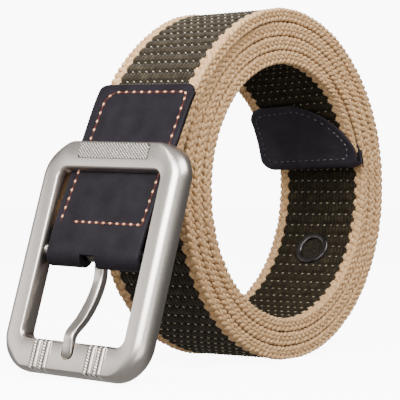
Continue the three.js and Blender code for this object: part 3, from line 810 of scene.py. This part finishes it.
def rounded_outline(share, half, low, high, corner):
    """Points round a rounded rectangle, so that one share gives matching places on two outlines."""
    quarter = (share * 4) % 4
    index = np.floor(quarter).astype(int) % 4
    inside = quarter - np.floor(quarter)
    turning = CORNER_STEPS / (CORNER_STEPS + SIDE_STEPS)
    centres = np.array([(half - corner, high - corner), (-half + corner, high - corner),
                        (-half + corner, low + corner), (half - corner, low + corner)])
    angle = (index + np.clip(inside / turning, 0, 1)) * pi / 2
    way = np.stack([np.cos(angle), np.sin(angle)], 1)
    ahead = np.clip((inside - turning) / (1 - turning), 0, 1)[:, None]
    centre = centres[index] * (1 - ahead) + centres[(index + 1) % 4] * ahead
    return centre + corner * way


def frame_ring():
    """A grid wrapped round both outlines. Rails are rounded outside, and bars are flat."""
    around = 4 * (CORNER_STEPS + SIDE_STEPS)
    section = 4 * (EDGE_STEPS + 1)
    bm = grid(around, section)

    def place(flat):
        share = flat[:, 0] % 1.0
        outer = rounded_outline(share, frame_half, frame_low, frame_high, OUTER_CORNER)
        inner = rounded_outline(share, OPENING_WIDTH / 2, -LOWER_WINDOW, UPPER_WINDOW,
                                OPENING_CORNER)
        across = inner - outer
        width = np.linalg.norm(across, axis=1)
        on_rail = smooth(np.abs(outer[:, 0]), frame_half - OUTER_CORNER,
                         frame_half - OUTER_CORNER / 4)
        step = np.round(flat[:, 1] * section).astype(int) % section
        part, turn = step // (EDGE_STEPS + 1), (step % (EDGE_STEPS + 1)) / EDGE_STEPS * pi / 2
        front = BAR_EDGE + (1 - BAR_EDGE) * on_rail
        back = BACK_EDGE + (RAIL_BACK - BACK_EDGE) * on_rail
        reach = FRONT_ROUND * np.choose(part, [front, np.full_like(front, INNER_EDGE),
                                               np.full_like(front, BACK_EDGE), back])
        rising = np.where(part % 2 == 0, turn, pi / 2 - turn)
        inset = reach * (1 - np.cos(rising))
        at_front = part < 2
        depth = np.where(at_front, -FRAME_FRONT + FRONT_ROUND * (1 - np.sin(rising)),
                         FRAME_BACK - BACK_ROUND * (1 - np.sin(rising)))
        from_outer = np.where((part == 0) | (part == 3), inset, width - inset)
        spot = outer + across * (from_outer / width)[:, None]
        return np.stack([depth, spot[:, 0], spot[:, 1]], 1)

    return remade(bm, place)


def edge_drop(height):
    """How far the lower bar's front falls back near its two edges."""
    reach = BAR_EDGE * FRONT_ROUND
    near = np.minimum(height - frame_low, -LOWER_WINDOW - height)
    past = np.clip(1 - near / reach, 0, 1)
    return FRONT_ROUND * (1 - np.sqrt(1 - past ** 2))


BAND_MIDDLE, BAND_AWAY, BAND_PITCH = -0.5, 7.7, 2.05
RIB_RADIUS, BEADS, BEAD_SIZE, BEAD_LEAN = 0.62, 11, (0.62, 0.92, 0.4), 38
HATCH_HALF_WIDE, HATCH_HALF_TALL, HATCH_DROP = 15.0, 2.7, 1.5
HATCH_PITCH, HATCH_SLANT, HATCH_RIDGE = 1.24, 1.1, (0.3, 0.345)
HATCH_RIDGES, SHORTEST_RIDGE = 15, 0.6
hatch_middle = frame_high - HATCH_DROP - HATCH_HALF_TALL


def band_places():
    """Where the eight ribs of the two bands stand across the lower bar."""
    for side in (-1, 1):
        for rib in range(4):
            away = (rib - 3.5 if side < 0 else rib + 0.5) * BAND_PITCH
            yield rib, BAND_MIDDLE + side * BAND_AWAY + away


def follow_edges(bm, longest, on_band):
    """Splits long edges, and lets what stands on the lower bar fall back near the bar's edges."""
    long_edges = [edge for edge in bm.edges if edge.calc_length() > longest]
    bmesh.ops.subdivide_edges(bm, edges=long_edges, cuts=24)
    for vert in bm.verts:
        if on_band(vert):
            vert.co.x += float(edge_drop(vert.co.z))


def band_relief():
    """Two bands of ribs across the lower bar: a smooth rib, then a roped one, twice."""
    bm = bmesh.new()
    middle = (frame_low - LOWER_WINDOW) / 2
    for rib, across in band_places():
        if rib % 2 == 0:
            place = Matrix.Translation((0, across, middle))
            cylinder(bm, RIB_RADIUS, LOWER_BAR - 0.3, place, 12)
            continue
        for bead in range(BEADS):
            height = middle + (bead - BEADS // 2) * (LOWER_BAR - 1.2) / 10.4
            turn = Matrix.Rotation(radians(BEAD_LEAN), 4, "X")
            lump(bm, (0, across, height), BEAD_SIZE, turn, 2)
    follow_edges(bm, 3, lambda vert: True)
    bmesh.ops.translate(bm, verts=bm.verts[:], vec=(-FRAME_FRONT, 0, 0))
    return bm


def hatch_relief():
    """A fine slanted hatch near the top of the upper bar, cut off at the patch's sides."""
    bm = bmesh.new()
    for ridge in range(-HATCH_RIDGES, HATCH_RIDGES + 1):
        start = ridge * HATCH_PITCH
        low = max(-HATCH_HALF_TALL, (-HATCH_HALF_WIDE - start) / HATCH_SLANT)
        high = min(HATCH_HALF_TALL, (HATCH_HALF_WIDE - start) / HATCH_SLANT)
        if high - low < SHORTEST_RIDGE:
            continue
        centre, long = (low + high) / 2, (high - low) * sqrt(1 + HATCH_SLANT * HATCH_SLANT)
        spot = (-FRAME_FRONT, start + HATCH_SLANT * centre, hatch_middle + centre)
        place = (Matrix.Translation(spot) @ Matrix.Rotation(-np.arctan(HATCH_SLANT), 4, "X")
                 @ Matrix.Diagonal((*HATCH_RIDGE, 1, 1)))
        cylinder(bm, 1, long, place, 8)
    return bm


def relief_ground():
    """The ground between the crests, a hair over the face: dull as tumbling doesn't reach it, and
    darker as painted shade.
    """
    bm = bmesh.new()
    face = -FRAME_FRONT - 0.04
    block(bm, (face, -15.2, hatch_middle - 2.8), (-FRAME_FRONT + 0.5, 15.2, hatch_middle + 2.8))
    low, high = frame_low + 0.25, -LOWER_WINDOW - 0.25
    for rib, across in band_places():
        if rib % 2 == 1:
            block(bm, (face, across - 1.0, low), (-FRAME_FRONT + 0.6, across + 1.0, high))
    follow_edges(bm, 9, lambda vert: vert.co.z < 0)
    return bm


def join_into(target, *others):
    """Adds the other bmeshes to the first."""
    for other in others:
        mesh = to_mesh(other)
        target.from_mesh(mesh)
        bpy.data.meshes.remove(mesh)
    return target


# The tongue's middle line, as shares of the window's height and of the bow
tongue_rows = np.array([(0.0, 0.54), (0.08, 0.76), (0.27, 1.0), (0.5, 0.76), (0.73, 0.16),
                        (0.92, -0.62), (1.05, -0.64), (1.2, -0.46)])
TONGUE_BOW = 4.9
TONGUE_STEPS, TONGUE_SIDES, EYE_STEPS = 70, 24, 40
TONGUE_SQUARENESS, TONGUE_CROWN = 0.42, 0.25
TIP_ROUND, TIP_END_THICK = 2.2, 0.25
THIN_FROM, THIN_BY = 18, 0.5
EYE_WALL, EYE_CHAMFER = 1.1, 0.4
NOTCH_FLOOR = tongue_rows[-1, 1] * TONGUE_BOW + TONGUE_THICK / 2 + GAP
NOTCH_END = -LOWER_WINDOW * tongue_rows[-1, 0] - 0.5


def tongue_line(count):
    """The tongue's middle line, a smooth curve through its rows, as (x, z) places and headings."""
    points = np.stack([tongue_rows[:, 1] * TONGUE_BOW, -tongue_rows[:, 0] * LOWER_WINDOW], 1)
    padded = np.concatenate([[2 * points[0] - points[1]], points, [2 * points[-1] - points[-2]]])
    spots = []
    for share in np.linspace(0, len(points) - 1, 400):
        index = min(int(share), len(points) - 2)
        t = share - index
        a, b, c, d = padded[index:index + 4]
        spots.append(0.5 * (2 * b + (c - a) * t + (2 * a - 5 * b + 4 * c - d) * t * t
                            + (3 * b - a - 3 * c + d) * t ** 3))
    spots = np.array(spots)
    run = np.concatenate([[0], np.cumsum(np.linalg.norm(np.diff(spots, axis=0), axis=1))])
    at = np.linspace(0, run[-1], count)
    line = np.stack([np.interp(at, run, spots[:, 0]), np.interp(at, run, spots[:, 1])], 1)
    heading = np.gradient(line, at, axis=0)
    return line, heading / np.linalg.norm(heading, axis=1)[:, None], at


def tongue():
    """A bar with a flat top and chamfered sides, bowed, with a round tip and an eye."""
    line, heading, at = tongue_line(TONGUE_STEPS + 1)
    bm = grid(TONGUE_STEPS, TONGUE_SIDES)

    def place(flat):
        row = np.round(flat[:, 0] * TONGUE_STEPS).astype(int)
        angle = flat[:, 1] * 2 * pi
        across = np.sign(np.cos(angle)) * np.abs(np.cos(angle)) ** TONGUE_SQUARENESS
        out = np.sign(np.sin(angle)) * np.abs(np.sin(angle)) ** TONGUE_SQUARENESS
        left = at[-1] - at[row]
        rounding = np.sqrt(np.clip(1 - np.clip(1 - left / TIP_ROUND, 0, 1) ** 2, 0, 1))
        half = TONGUE_WIDTH / 2 * rounding
        thick = TONGUE_THICK / 2 - THIN_BY * smooth(at[row], THIN_FROM, at[-1])
        thick = np.where(left < 0.01, TIP_END_THICK, thick * (0.35 + 0.65 * rounding))
        crown = np.where(out < 0, TONGUE_CROWN * (1 - np.abs(across)), 0) * rounding
        normal = np.stack([-heading[row, 1], heading[row, 0]], 1)
        spot = line[row] + normal * (out * thick - crown)[:, None] * -1
        return np.stack([spot[:, 0], across * half, spot[:, 1]], 1)

    bm = remade(bm, place)
    bmesh.ops.holes_fill(bm, edges=[edge for edge in bm.edges if edge.is_boundary])
    eye = bmesh.new()
    outer, inner = BAR_RADIUS + GAP + EYE_WALL, BAR_RADIUS + GAP
    half = TONGUE_WIDTH / 2
    corners = [(inner, -half), (outer - EYE_CHAMFER, -half), (outer, -half + EYE_CHAMFER),
               (outer, half - EYE_CHAMFER), (outer - EYE_CHAMFER, half), (inner, half)]
    verts = [eye.verts.new((radius, y, 0)) for radius, y in corners]
    edges = [eye.edges.new(pair) for pair in zip(verts, verts[1:] + verts[:1])]
    bmesh.ops.spin(eye, geom=verts + edges, axis=(0, 1, 0), cent=(0, 0, 0), steps=EYE_STEPS,
                   angle=2 * pi, use_merge=True)
    bmesh.ops.remove_doubles(eye, verts=eye.verts[:], dist=0.001)
    # The eye takes the dull, darker plate: painted shade inside the chape's slot
    for face in eye.faces:
        face.material_index = 1
    join_into(bm, eye)
    bmesh.ops.recalc_face_normals(bm, faces=bm.faces[:])
    shank = piece("bowed_tongue", leaned(bm, FRAME_LEAN), [satin_nickel, dull_nickel_painted_shade],
                  body="tongue", sharp=50)
    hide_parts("tongue")


frame_piece = piece("cast_frame", leaned(frame_ring(), FRAME_LEAN), [satin_nickel],
                    body="buckle_frame")
# The notch in the lower bar that the tongue's tip rests in, round at its lower end
NOTCH_REACH = 12
notch_half = TONGUE_WIDTH / 2 + 0.45
notch_turn = NOTCH_END + notch_half
notch_place = (Matrix.Translation((NOTCH_FLOOR - NOTCH_REACH / 2, 0, notch_turn))
               @ Matrix.Rotation(pi / 2, 4, "Y"))
cut_round(frame_piece, notch_half, NOTCH_REACH, notch_place, FRAME_LEAN)
cut_box(frame_piece, (NOTCH_FLOOR - NOTCH_REACH, -notch_half, notch_turn),
        (NOTCH_FLOOR, notch_half, NOTCH_END + NOTCH_REACH), FRAME_LEAN)
# The seat at the back of the upper bar, where the chape passes behind it
seat_front = -(WEB_THICK / 2 + GAP + CHAPE_WALL) - GAP
cut_box(frame_piece, (seat_front, -21.7, 14), (36, 21.2, 76), CHAPE_LEAN)
frame_piece.data.set_sharp_from_angle(angle=radians(40))
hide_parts("buckle_frame")
relief = leaned(join_into(band_relief(), hatch_relief()), FRAME_LEAN)
# The crests take the lighter plate: a painted highlight
piece("cast_relief", relief, [polished_nickel_painted_highlight], body="buckle_frame", sharp=60)
sunk = leaned(relief_ground(), FRAME_LEAN)
piece("relief_ground", sunk, [dull_nickel_painted_shade], body="buckle_frame", sharp=30)
rod = bmesh.new()
cylinder(rod, BAR_RADIUS, OPENING_WIDTH + 2, Matrix.Rotation(pi / 2, 4, "X"), 32)
piece("frame_bar", leaned(rod, FRAME_LEAN), [satin_nickel], body="buckle_frame",
      sharp=60)
tongue()


# ----------------------------
# Floor, light and camera
# ----------------------------
def add_stage(name, shape, colour, glow):
    """A plain pale surround. Only the camera sees it, so the lamps alone light the belt."""
    material, shader = new_material(name, colour, 0.9,
                                    Specular_IOR_Level=0.0, Emission_Strength=glow)
    shader.inputs["Emission Color"].default_value = linear("#fffdfe")
    mesh = to_mesh(shape, name)
    mesh.materials.append(material)
    thing = linked(name, mesh)
    thing.visible_diffuse = thing.visible_glossy = thing.visible_transmission = False
    return thing


FLOOR_HALF, SURROUND_RADIUS = 6, 8  # metres
ground_plane = bmesh.new()
bmesh.ops.create_grid(ground_plane, x_segments=1, y_segments=1, size=FLOOR_HALF)
add_stage("floor", ground_plane, "#d8d6d6", 9.0)
surround = bmesh.new()
bmesh.ops.create_uvsphere(surround, u_segments=48, v_segments=24, radius=SURROUND_RADIUS)
bmesh.ops.reverse_faces(surround, faces=surround.faces[:])
add_stage("surround", surround, "#000000", 10.0).visible_shadow = False

# A studio that is even and soft, but dark behind the right shoulder of the belt, where black
# cloth gives the metal's near sides their dark edge
world = bpy.data.worlds.new("studio")
bpy.context.scene.world = world
world.use_nodes = True
sky = world.node_tree
background = sky.nodes["Background"]
heading = sky.nodes.new("ShaderNodeTexCoord")
facing = sky.nodes.new("ShaderNodeVectorMath")
facing.operation = "DOT_PRODUCT"
facing.inputs[1].default_value = (0.74, -0.64, 0.2)
sky.links.new(heading.outputs["Generated"], facing.inputs[0])
shade = sky.nodes.new("ShaderNodeMapRange")
shade.interpolation_type = "SMOOTHSTEP"
for socket, value in (("From Min", 0.2), ("From Max", 0.9), ("To Min", 0.45), ("To Max", 0.16)):
    shade.inputs[socket].default_value = value
sky.links.new(facing.outputs["Value"], shade.inputs["Value"])
sky.links.new(shade.outputs["Result"], background.inputs["Strength"])
background.inputs["Color"].default_value = (1, 0.985, 0.985, 1)


def softbox(name, offset, size, power):
    """A softbox that faces the belt's middle."""
    lamp = bpy.data.lights.new(name, "AREA")
    lamp.shape = "RECTANGLE"
    lamp.size, lamp.size_y = size
    lamp.energy = power
    thing = linked(name, lamp)
    thing.location = BELT_MIDDLE + Vector(offset)
    thing.rotation_mode = "QUATERNION"
    thing.rotation_quaternion = (BELT_MIDDLE - thing.location).to_track_quat("-Z", "Y")


BELT_MIDDLE = Vector((0, 0, 0.065))
softbox("key", (-0.585, -0.03, 0.375), (0.42, 0.34), 10)
softbox("fill", (-0.66, -0.47, 0.02), (0.5, 0.4), 2.2)
softbox("front", (-0.1, -0.48, 0.6), (0.6, 0.4), 8.5)
softbox("left", (-0.4, 0.56, 0.12), (0.6, 0.3), 1.2)

# The camera, from the coil's middle, in millimetres, and its lens in pixels of the picture
CAMERA_LEFT, CAMERA_DOWN, CAMERA_BACK = 17.84, 2.9, 604.95
AIM_DROP, FOCAL_LENGTH = 4.5, 1600
right, back = Vector((0.588, -0.809, 0)), Vector((-0.809, -0.588, 0))
camera_data = bpy.data.cameras.new("camera")
camera_data.sensor_width = 36
camera_data.lens = 144
camera_data.clip_start, camera_data.clip_end = 0.01, 50
camera = linked("camera", camera_data)
bpy.context.scene.camera = camera
camera.location = (Vector(coil_centre) * MM - right * CAMERA_LEFT * MM
                   - Vector((0, 0, CAMERA_DOWN * MM)) + back * CAMERA_BACK * MM)
camera.rotation_mode = "QUATERNION"
aim = -back - Vector((0, 0, AIM_DROP / FOCAL_LENGTH))
camera.rotation_quaternion = aim.to_track_quat("-Z", "Y")
